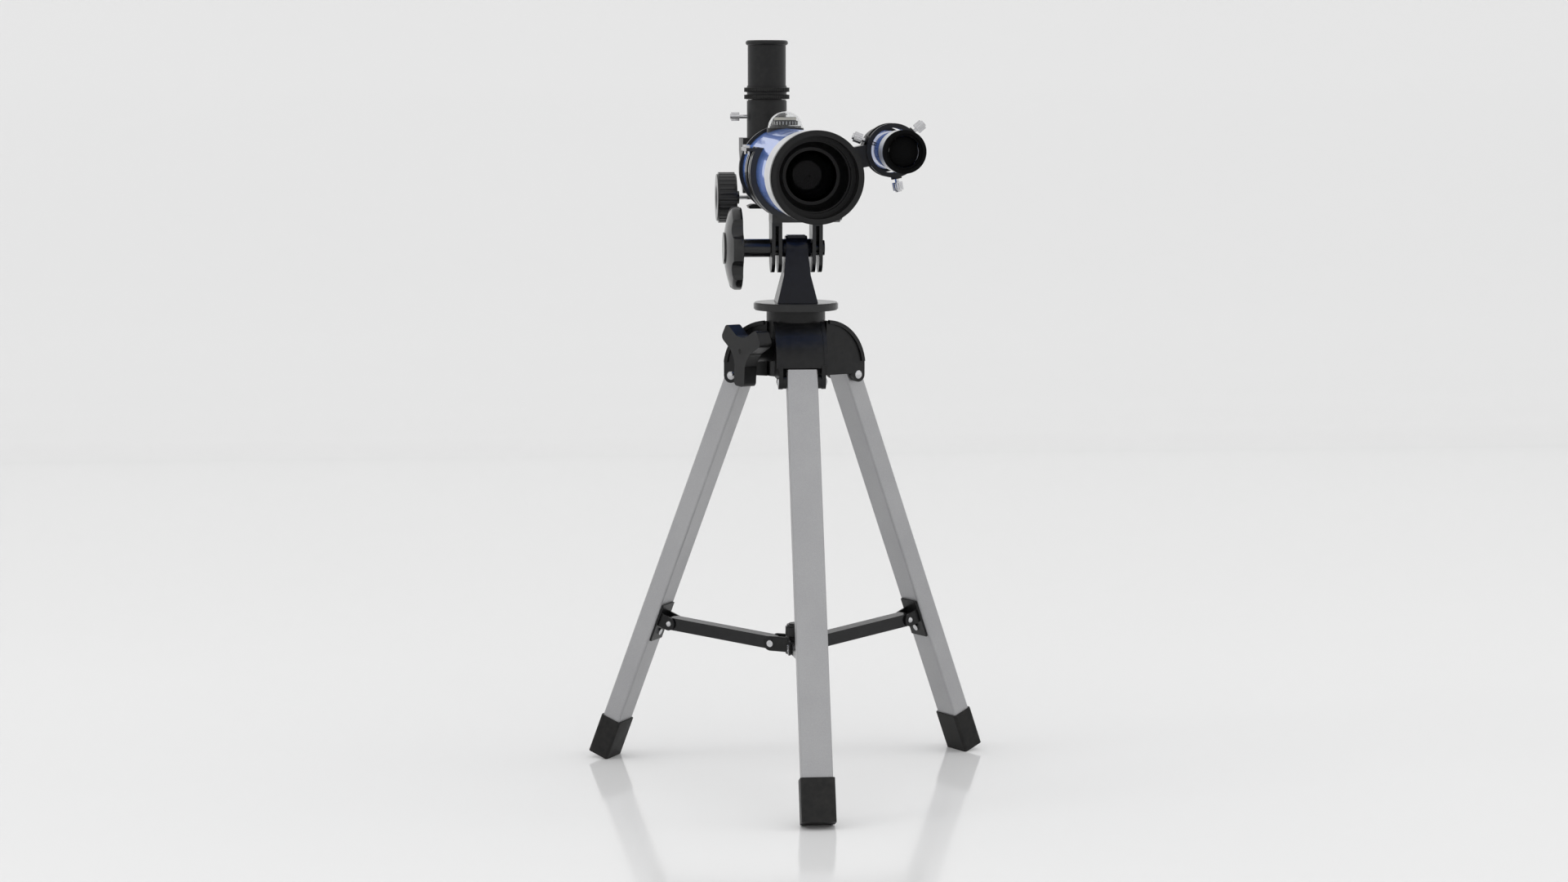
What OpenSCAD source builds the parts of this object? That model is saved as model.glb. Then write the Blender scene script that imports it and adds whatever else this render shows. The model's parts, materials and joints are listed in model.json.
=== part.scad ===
// Small blue refractor on a folding tabletop tripod.
// Millimetres, +Z up.  Origin on the floor, on the turntable's axis.  The lens looks along -Y,
// the front leg stands toward -Y and the tilt axis runs along X with its knob at -X.

/* [Tripod] */
// Height of the leg pivots above the floor
leg_pivot_z = 299; // [200:1:400]
// Distance of the leg pivots from the turntable axis
leg_pivot_r = 45; // [35:1:70]
// Lean of the opened legs from vertical, degrees
leg_lean = 21.4; // [15:0.1:30]
// Width of the leg tube across its outer face
leg_w = 22; // [15:0.5:30]
// Thickness of the leg tube from outer face to inner face
leg_t = 14.5; // [10:0.5:25]
// Wall of the leg tube
leg_wall = 1.3; // [0.8:0.1:3]
// Wall of the rubber foot around the leg
foot_wall = 1.2; // [0.8:0.1:3]
// Length of the rubber foot
foot_len = 31; // [15:1:60]
// Distance of the brace bracket's pivot above the foot's end, along the leg
bracket_up = 119; // [60:1:200]
// Height of the brace pivots in the spreader hub
hub_z = 99.6; // [60:0.2:160]
// Distance of the hub's brace pivots from the axis
hub_pivot_r = 17.6; // [14:0.2:30]

/* [Tripod head] */
// Top of the head's neck, under the turntable
neck_top_z = 347.7; // [300:0.1:400]
// Radius of the neck
neck_r = 21.5; // [15:0.5:30]
// Radius of the curved top of each wing
wing_curve_r = 35; // [25:1:45]
// Width of each wing
wing_w = 37; // [30:1:45]
// Height of the turntable lock knob's axis
lock_knob_z = 319.5; // [310:0.5:330]
// Reach of the lock knob's three arms
lock_knob_r = 25.5; // [15:0.5:26]

/* [Mount] */
// Top face of the turntable
turntable_top_z = 353.5; // [330:0.5:380]
// Radius of the turntable
turntable_r = 31; // [25:0.5:40]
// Height of the tilt axis
tilt_z = 393; // [370:1:420]
// Radius of the tilt knob over its lobes
tilt_knob_r = 31; // [20:0.5:40]
// Inner face of each yoke arm, from the middle plane
arm_inner_x = 11; // [9:0.5:20]
// Width of each yoke arm along the tilt axis
arm_w = 7.6; // [5:0.2:12]

/* [Main tube] */
// Height of the optical axis
optical_z = 448; // [420:1:500]
// Outside radius of the blue tube
tube_r = 31; // [25:0.5:45]
// Wall of the blue tube
tube_wall = 1.2; // [0.6:0.1:3]
// Front end of the black rim
rim_front_y = -152; // [-200:1:-120]
// Front end of the blue tube
tube_front_y = -98; // [-120:1:-60]
// Rear end of the blue tube
tube_rear_y = 104; // [60:1:160]
// Radius of the objective lens
lens_r = 19.6; // [15:0.2:28]

/* [Focuser and eyepiece] */
// Outside radius of the drawtube
drawtube_r = 16; // [14:0.5:20]
// Position of the pinion shaft along the tube
pinion_y = 135; // [120:1:160]
// Drop of the pinion shaft below the optical axis
pinion_drop = 22.5; // [20:0.1:25]
// Radius of the focus knobs
focus_knob_r = 19.5; // [12:0.5:25]
// Position of the eyepiece's axis along the tube
eyepiece_y = 241; // [220:1:270]
// Radius of the push-fit eyepiece barrel (24.5 mm standard)
eyepiece_barrel_r = 12.25; // [12:0.05:16]

/* [Finder and compass] */
// Finder's axis to the right of the main tube's axis
finder_x = 75; // [60:1:90]
// Finder's axis above the main tube's axis
finder_up = 15.3; // [0:0.1:40]
// Radius of the finder's blue tube
finder_r = 14.3; // [10:0.1:20]
// Front end of the finder
finder_front_y = -37; // [-60:1:0]
// Middle of the finder's bracket ring
finder_ring_y = 36; // [0:1:80]
// Position of the compass along the tube
compass_y = 82; // [60:1:84]
// Radius of the compass dome
compass_r = 13.2; // [10:0.1:14]

/* [Which piece] */
// One piece's name, or all

/* [Hidden] */
$fn = 72;

// Colours of the materials
black_plastic = [0.09, 0.09, 0.10];
rubber_black = [0.05, 0.05, 0.05];
aluminium = [0.72, 0.73, 0.75];
bright_steel = [0.80, 0.80, 0.82];
tube_blue = [0.10, 0.22, 0.62];
satin_silver = [0.76, 0.76, 0.78];
clear_glass = [0.72, 0.82, 0.86];

// Clearances: between a turning pin and its hole, and between pieces that pass each other
pin_gap = 0.05;
gap = 0.3;

// Legs, numbered from the front leg: front, right, left
leg_azimuths = [-90, 30, 150];
foot_half = leg_t / 2 + foot_wall;
leg_reach = (leg_pivot_z - foot_half * sin(leg_lean)) / cos(leg_lean);
foot_sole = 3;
leg_over_pivot = 7;
leg_corner_r = 1.6;
rivet_r = 2.4;
rivet_head_r = 3.7;
rivet_head_h = 1.5;

// Brace brackets, braces and hub
bracket_in = 9;
bracket_along = leg_reach - bracket_up;
bracket_from_axis = leg_t / 2 + bracket_in;
bracket_r = leg_pivot_r + bracket_along * sin(leg_lean) - bracket_from_axis * cos(leg_lean);
bracket_z = leg_pivot_z - bracket_along * cos(leg_lean) - bracket_from_axis * sin(leg_lean);
brace_len = sqrt(pow(bracket_r - hub_pivot_r, 2) + pow(bracket_z - hub_z, 2));
brace_slope = atan2(bracket_z - hub_z, bracket_r - hub_pivot_r);
brace_w = 10.6;
brace_h = 9.4;
brace_wall = 1.3;
brace_pin_r = 1.6;
brace_pin_head_r = 2.5;
clevis_wall = 1.5;

// Head
wing_centre_r = 14.5;
wing_centre_z = neck_top_z - 7.7 - wing_curve_r;
wing_lip_z = wing_centre_z + 4;
wing_wall = 2.2;
wing_ridge = 0.6;
ear_r = 5.4;
ear_wall = 3;
head_floor_z = 300;
bolt_r = 4;

// Turntable and tilt axis
turntable_h = 5.5;
boss_r = 6.65;
arm_wall = 2.6;
arm_half_depth = 12;
arm_outer_x = arm_inner_x + arm_w;
tilt_knob_in = 40.3;
tilt_knob_out = 53;

// Saddle under the tube
cradle_inner_r = tube_r + 0.05;
cradle_outer_r = tube_r + 3;
cradle_rib_r = tube_r + 4.4;
cradle_front_y = -22;
cradle_rear_y = 24.5;
cradle_top = 32;
cradle_flange_up = 18;
cradle_flange_x = 38;
cradle_screw_x = 35.2;
cradle_screw_ys = [cradle_front_y + 8, cradle_rear_y - 8];
cradle_floor_z = optical_z - cradle_rib_r - 0.6;

// Front of the tube
rim_r = tube_r + 1;
shield_r = tube_r + 0.4;
rim_len = 9.2;
end_ring_r = tube_r + 2.4;
rim_bore_r = 28.2;
shield_bore_r = tube_r - tube_wall;
lens_y = -100;
lens_h = 7;

// Focuser
pinion_z = optical_z - pinion_drop;
pinion_pitch_r = 4;
pinion_teeth = 10;
tooth_pitch = 2 * PI * pinion_pitch_r / pinion_teeth;
tooth_depth = 0.55;
tooth_w = 0.9;
pinion_shaft_r = 1.6;
focus_knob_in = 33.5;
focus_knob_out = 48.5;
drawtube_wall = 1.3;
drawtube_front_y = 62;
drawtube_rear_y = 214;

// Diagonal and eyepiece
diagonal_half = 21;
diagonal_h = 44;
prism_half = 12;
holder_r = 16.1;
holder_top_z = 500.6;
eyepiece_top_z = 548;
eyepiece_tube_r = 15.4;
eyepiece_ring_r = 18;
lock_screw_z = 487;

// Finder
finder_z = optical_z + finder_up;
finder_ring_r = 19;
finder_ring_bore = 16.6;
finder_ring_len = 22;
finder_screw_r = 1.5;
finder_screw_angles = [40, 160, 280];
finder_lens_r = 12;

// Compass
compass_z = optical_z + tube_r + 0.4;
dome_sink = 0.6;
compass_wall = 0.8;
compass_floor_up = 1.5;
compass_pin_r = 1;
card_r = 9.6;
card_top_r = 8.2;
card_drum_h = 3.4;
card_h = 6.1;

// ---------- shared shapes ----------

// A rectangle with round corners, centred
module round_rect(w, d, r) {
    square([w - 2 * r, d], center = true);
    square([w, d - 2 * r], center = true);
    for (x = [-1, 1], y = [-1, 1])
        translate([x * (w / 2 - r), y * (d / 2 - r)])
            circle(r = r);
}

// A cylinder along +X from x0 to x1
module x_rod(r, x0, x1) {
    translate([x0, 0, 0])
        rotate([0, 90, 0])
            cylinder(r = r, h = x1 - x0);
}

// A cylinder along +Y from y0 to y1
module y_rod(r, y0, y1) {
    translate([0, y0, 0])
        rotate([-90, 0, 0])
            cylinder(r = r, h = y1 - y0);
}

// A sleeve along +Y
module y_ring(outer, inner, y0, y1) {
    difference() {
        y_rod(outer, y0, y1);
        y_rod(inner, y0 - 1, y1 + 1);
    }
}

// Turns a profile of radius against length about the Y axis
module y_turned() {
    rotate([-90, 0, 0])
        rotate_extrude()
            children();
}

// A lens along +Y with a flat edge and the same curve on both faces
module y_lens(radius, y0, thickness, curve_r) {
    y_turned()
        intersection() {
            translate([0, y0])
                square([radius, thickness]);
            translate([0, y0 + curve_r])
                circle(r = curve_r, $fn = 360);
            translate([0, y0 + thickness - curve_r])
                circle(r = curve_r, $fn = 360);
        }
}

// Puts children on the optical axis
module on_tube() {
    translate([0, 0, optical_z])
        children();
}

// Puts children on the finder's axis
module on_finder() {
    translate([finder_x, 0, finder_z])
        children();
}

// Turns children to one leg's direction: +X then points outward
module toward_leg(leg) {
    rotate([0, 0, leg_azimuths[leg - 1]])
        children();
}

// One leg's own frame: origin at its pivot, -Z down the leg, +X out through its outer face
module in_leg(leg) {
    toward_leg(leg)
        translate([leg_pivot_r, 0, leg_pivot_z])
            rotate([0, -leg_lean, 0])
                children();
}

// A rivet along Y through two walls, with a low round head at each end
module rivet(r, head_r, half_len, head_h) {
    y_rod(r, -half_len - 0.2, half_len + 0.2);
    for (side = [-1, 1])
        scale([1, side, 1])
            difference() {
                translate([0, half_len - head_r * 1.1 + head_h, 0])
                    sphere(r = head_r * 1.1);
                y_rod(head_r * 2, -head_r * 3, half_len);
            }
}

// ---------- tripod head ----------

module wing_solid(r, half_w) {
    intersection() {
        translate([wing_centre_r, 0, wing_centre_z])
            y_rod(r, -half_w, half_w);
        translate([neck_r - 4, -half_w - 1, wing_lip_z])
            cube([60, 2 * half_w + 2, 60]);
    }
}

// Outline of one side plate, radius along X and height along Y
module wing_side_outline() {
    intersection() {
        translate([wing_centre_r, wing_centre_z])
            circle(r = wing_curve_r - 0.5);
        translate([neck_r - 6, head_floor_z])
            square([35, 60]);
    }
    translate([leg_pivot_r, leg_pivot_z])
        circle(r = ear_r);
    translate([leg_pivot_r - ear_r, leg_pivot_z])
        square([2 * ear_r, 12]);
}

module wing() {
    side_out = wing_w / 2 - 1.5;
    difference() {
        union() {
            difference() {
                wing_solid(wing_curve_r, wing_w / 2 - 1.8);
                wing_solid(wing_curve_r - wing_wall, wing_w / 2 + 1);
            }
            for (side = [-1, 1])
                translate([0, side * (wing_w / 2 - 1.3), 0])
                    difference() {
                        wing_solid(wing_curve_r + wing_ridge, 1.3);
                        wing_solid(wing_curve_r - wing_wall, 2);
                    }
            for (side = [-1, 1])
                translate([0, side * (side_out - ear_wall / 2) + ear_wall / 2, 0])
                    rotate([90, 0, 0])
                        linear_extrude(height = ear_wall)
                            wing_side_outline();
            for (side = [-1, 1])
                translate([leg_pivot_r, side * (leg_w / 2 + gap + 1.5), leg_pivot_z])
                    y_rod(5, -1.5, 1.5);
        }
        translate([leg_pivot_r, 0, leg_pivot_z])
            y_rod(rivet_r + pin_gap, -wing_w, wing_w);
    }
}

module tripod_head() {
    color(black_plastic)
        difference() {
            union() {
                translate([0, 0, head_floor_z])
                    cylinder(r = neck_r, h = neck_top_z - head_floor_z);
                for (leg = [1:3])
                    toward_leg(leg)
                        wing();
                rotate([0, 0, 210])
                    translate([0, 0, lock_knob_z])
                        x_rod(8.5, neck_r - 3, 37);
            }
            translate([0, 0, head_floor_z - 1])
                cylinder(r = bolt_r + pin_gap, h = 100);
            translate([0, 0, head_floor_z - 1])
                cylinder(r = neck_r - 3, h = 24);
            rotate([0, 0, 210])
                translate([0, 0, lock_knob_z])
                    x_rod(3 + pin_gap, 0, 60);
        }
}

module leg_pivot_rivets() {
    color(bright_steel)
        for (leg = [1:3])
            toward_leg(leg)
                translate([leg_pivot_r, 0, leg_pivot_z])
                    rivet(rivet_r, rivet_head_r, wing_w / 2 - 1.5, rivet_head_h);
}

module azimuth_bolt() {
    head_h = 4;
    color(bright_steel) {
        translate([0, 0, head_floor_z + 18])
            cylinder(r = bolt_r, h = turntable_top_z - head_floor_z - 18);
        translate([0, 0, turntable_top_z + 0.1])
            cylinder(r = 6.5, h = head_h, $fn = 6);
        translate([0, 0, turntable_top_z - 0.5])
            cylinder(r = bolt_r, h = 1.5);
        translate([0, 0, head_floor_z + 17])
            cylinder(r = 7.4, h = 5.8, $fn = 6);
    }
}

// Three blunt arms with hollow fillets between them
module star_outline(arm_w, reach, corner_r, fillet_r) {
    centre_r = (arm_w / 2 + fillet_r) / sin(60) - fillet_r;
    difference() {
        union() {
            circle(r = centre_r + 2);
            for (arm = [0:2])
                rotate(arm * 120)
                    translate([reach / 2, 0])
                        round_rect(reach, arm_w, corner_r);
        }
        for (arm = [0:2])
            rotate(arm * 120 + 60)
                translate([centre_r + fillet_r, 0])
                    circle(r = fillet_r);
    }
}

module azimuth_lock_knob() {
    knob_start = 39;
    thickness = 10.5;
    arm_w = 13;
    arm_corner_r = 3.5;
    fillet_r = 17;
    color(black_plastic)
        rotate([0, 0, 210])
            translate([knob_start, 0, lock_knob_z])
                rotate([0, 90, 0])
                    difference() {
                        union() {
                            linear_extrude(height = thickness)
                                rotate(-4)
                                    star_outline(arm_w, lock_knob_r, arm_corner_r, fillet_r);
                            translate([0, 0, -1.5])
                                cylinder(r = 8, h = 3);
                        }
                        translate([0, 0, thickness + 2])
                            sphere(r = 3);
                        translate([0, 0, -2])
                            cylinder(r = 3.02, h = 8);
                    }
}

module azimuth_lock_stud() {
    color(bright_steel)
        rotate([0, 0, 210])
            translate([0, 0, lock_knob_z])
                x_rod(3, neck_r - 10, 44.5);
}

// ---------- legs ----------

module leg_tube(leg) {
    color(aluminium)
        in_leg(leg)
            difference() {
                translate([0, 0, -leg_reach + foot_sole])
                    linear_extrude(height = leg_reach - foot_sole + leg_over_pivot)
                        difference() {
                            round_rect(leg_t, leg_w, leg_corner_r);
                            round_rect(leg_t - 2 * leg_wall, leg_w - 2 * leg_wall, 0.6);
                        }
                y_rod(rivet_r + pin_gap, -leg_w, leg_w);
                translate([0, 0, -bracket_along - 11])
                    x_rod(brace_pin_r + pin_gap, -leg_t, 0);
            }
}

module leg_foot(leg) {
    color(rubber_black)
        in_leg(leg)
            translate([0, 0, -leg_reach])
                difference() {
                    linear_extrude(height = foot_len)
                        round_rect(2 * foot_half, leg_w + 2 * foot_wall, leg_corner_r + 0.6);
                    translate([0, 0, foot_sole])
                        linear_extrude(height = foot_len)
                            round_rect(leg_t + 0.04, leg_w + 0.04, leg_corner_r);
                }
}

module leg_bracket(leg) {
    plate_len = 30;
    ear_y = brace_w / 2 + gap + clevis_wall / 2;
    color(black_plastic)
        in_leg(leg)
            translate([-leg_t / 2, 0, -bracket_along])
                difference() {
                    union() {
                        translate([-clevis_wall, -9, -plate_len / 2 - 3])
                            cube([clevis_wall - 0.02, 18, plate_len]);
                        for (side = [-1, 1])
                            translate([-bracket_in, side * ear_y, 0]) {
                                y_rod(5, -clevis_wall / 2, clevis_wall / 2);
                                translate([0, -clevis_wall / 2, -5])
                                    cube([bracket_in - 1, clevis_wall, 10]);
                            }
                    }
                    translate([-bracket_in, 0, 0])
                        y_rod(brace_pin_r + pin_gap, -20, 20);
                    translate([0, 0, -11])
                        x_rod(brace_pin_r + pin_gap, -10, 10);
                }
}

module leg_rivets(leg) {
    pin_half = brace_w / 2 + gap + clevis_wall;
    color(bright_steel)
        in_leg(leg) {
            translate([-bracket_from_axis, 0, -bracket_along])
                rivet(brace_pin_r, brace_pin_head_r, pin_half, 1.1);
            translate([-leg_t / 2 - clevis_wall, 0, -bracket_along - 11]) {
                x_rod(brace_pin_r, -0.2, clevis_wall + leg_wall + 1);
                x_rod(brace_pin_head_r, -1.2, 0);
            }
        }
}

// An inverted channel with round ends, from the bracket's pivot down to the hub's pivot
module brace(leg) {
    color(black_plastic)
        toward_leg(leg)
            translate([bracket_r, 0, bracket_z])
                rotate([0, -brace_slope, 0])
                    difference() {
                        union() {
                            translate([-brace_len, -brace_w / 2, -brace_h / 2])
                                cube([brace_len, brace_w, brace_h]);
                            for (x = [0, -brace_len])
                                translate([x, 0, 0])
                                    y_rod(brace_h / 2, -brace_w / 2, brace_w / 2);
                        }
                        translate([-brace_len - 10, -brace_w / 2 + brace_wall, -brace_h / 2 - 1])
                            cube([brace_len + 20, brace_w - 2 * brace_wall, brace_h + 1 - brace_wall]);
                        for (x = [0, -brace_len])
                            translate([x, 0, 0])
                                y_rod(brace_pin_r + pin_gap, -20, 20);
                    }
}

// ---------- spreader hub ----------

module spreader_hub() {
    lug_y = brace_w / 2 + gap + clevis_wall / 2;
    lug_h = 11;
    core_r = 7.6;
    color(black_plastic)
        difference() {
            union() {
                translate([0, 0, hub_z - 7])
                    cylinder(r = core_r, h = 12.5);
                for (leg = [1:3], side = [-1, 1])
                    toward_leg(leg)
                        translate([0, side * lug_y, hub_z]) {
                            translate([3, -clevis_wall / 2, -lug_h / 2])
                                cube([hub_pivot_r - 3, clevis_wall, lug_h]);
                            translate([hub_pivot_r, 0, 0])
                                y_rod(lug_h / 2, -clevis_wall / 2, clevis_wall / 2);
                        }
            }
            for (leg = [1:3])
                toward_leg(leg)
                    translate([hub_pivot_r, 0, hub_z])
                        y_rod(brace_pin_r + pin_gap, -12, 12);
            translate([0, 0, hub_z - 8])
                cylinder(r = 2.5, h = 20);
        }
}

module hub_rivets() {
    face = brace_w / 2 + gap + clevis_wall;
    color(bright_steel)
        for (leg = [1:3], side = [-1, 1])
            toward_leg(leg)
                translate([hub_pivot_r, 0, hub_z])
                    scale([1, side, 1]) {
                        y_rod(brace_pin_r, face - clevis_wall, face + 0.2);
                        y_rod(brace_pin_head_r, face, face + 1);
                    }
}

module hub_knob() {
    base_z = hub_z + 5.6;
    color(black_plastic) {
        translate([0, 0, base_z])
            rotate_extrude()
                union() {
                    square([5, 10]);
                    translate([0, 1])
                        square([7.7, 6.5]);
                    translate([0, 7.5])
                        square([6.6, 1.6]);
                }
        translate([0, 0, base_z - 12])
            cylinder(r = 2.45, h = 12.5);
    }
}

// ---------- turntable, pedestal and tilt lock ----------

module turntable() {
    color(black_plastic)
        difference() {
            translate([0, 0, turntable_top_z - turntable_h])
                rotate_extrude()
                    union() {
                        square([turntable_r - 0.8, turntable_h]);
                        translate([0, 0.8])
                            square([turntable_r, turntable_h - 1.6]);
                    }
            translate([0, 0, turntable_top_z - 20])
                cylinder(r = bolt_r + pin_gap, h = 30);
        }
}

// Outline of the pedestal, half width against height above the turntable
module pedestal_outline(foot_half_w, waist_half_w, top_half_w) {
    waist_h = 20;
    shoulder_h = tilt_z - turntable_top_z;
    polygon([
        [-foot_half_w, 0], [foot_half_w, 0],
        [waist_half_w, waist_h], [top_half_w, shoulder_h],
        [-top_half_w, shoulder_h], [-waist_half_w, waist_h],
    ]);
}

module pedestal() {
    top_half_x = 7.9;
    top_half_y = 9;
    cap_half_x = 6.6;
    color(black_plastic)
        difference() {
            union() {
                translate([0, 0, turntable_top_z + 0.02])
                    intersection() {
                        rotate([90, 0, 0])
                            linear_extrude(height = 60, center = true)
                                pedestal_outline(14.8, 9.8, top_half_x);
                        rotate([90, 0, 90])
                            linear_extrude(height = 60, center = true)
                                pedestal_outline(14.8, 11.5, top_half_y);
                    }
                translate([0, 0, tilt_z])
                    x_rod(top_half_y, -top_half_x, top_half_x);
                translate([0, 0, tilt_z])
                    x_rod(boss_r, -arm_inner_x + gap, arm_inner_x - gap);
                translate([-cap_half_x, -5, tilt_z])
                    cube([2 * cap_half_x, 10, top_half_y + 0.6]);
            }
            translate([0, 0, tilt_z])
                x_rod(bolt_r + pin_gap, -30, 30);
            translate([0, 0, turntable_top_z - 1])
                cylinder(r = 7.2, h = 5.8);
        }
}

module tilt_bolt() {
    color(bright_steel)
        translate([0, 0, tilt_z]) {
            x_rod(bolt_r, -46, arm_outer_x + 0.5);
            x_rod(5.6, arm_outer_x + gap, arm_outer_x + 2.2);
        }
}

// Profile of the tilt knob: radius against distance from its inner face, domed outside
module tilt_knob_profile() {
    thickness = tilt_knob_out - tilt_knob_in;
    rim_h = thickness - 4.4;
    edge = 4;
    foot = 1.6;
    dome_r = 85;
    intersection() {
        union() {
            square([tilt_knob_r - edge, thickness]);
            translate([0, foot])
                square([tilt_knob_r, rim_h - foot - edge]);
            square([tilt_knob_r - foot, rim_h - edge]);
            translate([tilt_knob_r - edge, rim_h - edge])
                circle(r = edge);
            translate([tilt_knob_r - foot, foot])
                circle(r = foot);
        }
        translate([0, thickness - dome_r])
            circle(r = dome_r, $fn = 360);
    }
}

module tilt_knob() {
    lobes = 6;
    scallop_r = 11;
    cap_r = 11.5;
    color(black_plastic)
        translate([0, 0, tilt_z])
            difference() {
                union() {
                    translate([-tilt_knob_in, 0, 0])
                        rotate([0, -90, 0])
                            rotate_extrude()
                                tilt_knob_profile();
                    x_rod(boss_r, -tilt_knob_in - 1, -arm_outer_x - gap);
                    x_rod(cap_r, -tilt_knob_out - 0.2, -tilt_knob_out + 2);
                    x_rod(10, -tilt_knob_in - 1, -tilt_knob_in + 1.8);
                }
                for (lobe = [0:lobes - 1])
                    rotate([lobe * 360 / lobes, 0, 0])
                        translate([0, 0, tilt_knob_r + scallop_r - 4.6])
                            x_rod(scallop_r, -60, -30);
                x_rod(bolt_r + 0.02, -46.02, 0);
            }
}

// ---------- yoke and cradle ----------

// Side outline of a yoke arm: depth along X, height along Y
module arm_outline(bottom_r) {
    circle(r = bottom_r);
    translate([-bottom_r, 0])
        square([2 * bottom_r, cradle_floor_z - tilt_z]);
}

module yoke_arm(side) {
    height = cradle_floor_z - tilt_z;
    depth_r = arm_half_depth;
    outer_drop = 18 - depth_r;
    color(black_plastic)
        translate([0, 0, tilt_z])
            scale([side, 1, 1])
                difference() {
                    union() {
                        for (x = [arm_inner_x, arm_outer_x - arm_wall])
                            translate([x, 0, 0])
                                rotate([90, 0, 90])
                                    linear_extrude(height = arm_wall)
                                        union() {
                                            arm_outline(depth_r);
                                            translate([0, -outer_drop])
                                                circle(r = depth_r);
                                            translate([-depth_r, -outer_drop])
                                                square([2 * depth_r, outer_drop]);
                                        }
                        translate([arm_inner_x, arm_half_depth - arm_wall, -outer_drop])
                            cube([arm_w, arm_wall, height + outer_drop]);
                        translate([arm_inner_x, -arm_half_depth, height - arm_wall])
                            cube([arm_w, 2 * arm_half_depth, arm_wall]);
                    }
                    x_rod(bolt_r + pin_gap, 0, 40);
                }
}

module left_arm() {
    yoke_arm(-1);
}

module right_arm() {
    yoke_arm(1);
}

// The part of a tube around the main axis that lies under the cradle's top edges
module saddle_ring(outer, y0, y1) {
    on_tube()
        difference() {
            y_ring(outer, cradle_inner_r, y0, y1);
            for (side = [0, 1])
                mirror([side, 0, 0])
                    rotate([0, -cradle_top, 0])
                        translate([0, y0 - 1, 0])
                            cube([60, y1 - y0 + 2, 60]);
            translate([-12, y0 - 1, 0])
                cube([24, y1 - y0 + 2, 60]);
        }
}

module cradle() {
    rib_w = 5;
    length = cradle_rear_y - cradle_front_y;
    flange_half = 14;
    flange_h = 2.4;
    color(black_plastic)
        difference() {
            union() {
                saddle_ring(cradle_outer_r, cradle_front_y, cradle_rear_y);
                for (y = [cradle_front_y, cradle_front_y + 11, cradle_rear_y - 16, cradle_rear_y - rib_w])
                    saddle_ring(cradle_rib_r, y, y + rib_w);
                difference() {
                    translate([-arm_outer_x, -flange_half, cradle_floor_z])
                        cube([2 * arm_outer_x, 2 * flange_half, 9]);
                    on_tube()
                        y_rod(cradle_outer_r - 1, -40, 40);
                }
                difference() {
                    on_tube()
                        translate([-cradle_flange_x, cradle_front_y, cradle_flange_up - flange_h])
                            cube([2 * cradle_flange_x, length, flange_h]);
                    on_tube()
                        y_rod(cradle_inner_r, -60, 60);
                }
            }
            for (side = [-1, 1], y = cradle_screw_ys)
                translate([side * cradle_screw_x, y, optical_z])
                    cylinder(r = 1.3, h = 60);
            for (side = [-1, 1])
                translate([side * 14.8, -flange_half + 2.2, cradle_floor_z - 1])
                    cylinder(r = 1.05, h = 5);
        }
}

module cradle_screws() {
    color(bright_steel)
        for (side = [-1, 1], y = cradle_screw_ys)
            translate([side * cradle_screw_x, y, optical_z + cradle_flange_up]) {
                translate([0, 0, -5])
                    cylinder(r = 1.25, h = 5.5);
                cylinder(r = 2.5, h = 1.9);
            }
}

// ---------- main tube ----------

module main_tube() {
    color(tube_blue)
        on_tube()
            y_ring(tube_r, tube_r - tube_wall, tube_front_y, tube_rear_y);
}

module dew_shield() {
    start_y = rim_front_y + rim_len;
    color(satin_silver)
        on_tube()
            difference() {
                y_rod(shield_r, start_y, tube_front_y + 4);
                y_rod(shield_bore_r, start_y - 1, tube_front_y + 5);
                y_rod(tube_r + 0.02, tube_front_y, tube_front_y + 5);
            }
}

module front_rim() {
    plug_rear_y = rim_front_y + 24;
    color(black_plastic)
        on_tube()
            difference() {
                union() {
                    y_rod(rim_r - 0.8, rim_front_y, rim_front_y + 2);
                    y_rod(rim_r, rim_front_y + 0.8, rim_front_y + rim_len);
                    y_rod(shield_bore_r - 0.02, rim_front_y + rim_len - 1, plug_rear_y);
                }
                y_rod(rim_bore_r, rim_front_y - 1, plug_rear_y - 5);
                y_rod(25.2, rim_front_y - 1, plug_rear_y + 1);
            }
}

module lens_cell() {
    cell_front_y = rim_front_y + 24.2;
    color(black_plastic)
        on_tube()
            difference() {
                y_rod(shield_bore_r - 0.04, cell_front_y, lens_y + lens_h + 4);
                y_turned()
                    polygon([
                        [0, cell_front_y - 1], [24, cell_front_y - 1],
                        [24, cell_front_y + 4], [19.9, lens_y - 9],
                        [17.7, lens_y - 9], [17.7, lens_y],
                        [lens_r + 0.03, lens_y], [lens_r + 0.03, lens_y + lens_h + 0.5],
                        [18, lens_y + lens_h + 0.5], [18, lens_y + lens_h + 5],
                        [0, lens_y + lens_h + 5],
                    ]);
            }
}

module objective_lens() {
    color(clear_glass, 0.45)
        on_tube()
            y_lens(lens_r, lens_y + 0.02, lens_h, 62);
}

module tube_end_ring() {
    color(black_plastic)
        on_tube()
            difference() {
                union() {
                    y_rod(end_ring_r, tube_rear_y - 5, tube_rear_y + 3);
                    y_rod(end_ring_r - 0.7, tube_rear_y - 6, tube_rear_y + 4);
                }
                y_rod(tube_r + 0.02, tube_rear_y - 8, tube_rear_y + 0.02);
                y_rod(24, tube_rear_y - 8, tube_rear_y + 6);
            }
}

// ---------- focuser ----------

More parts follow.
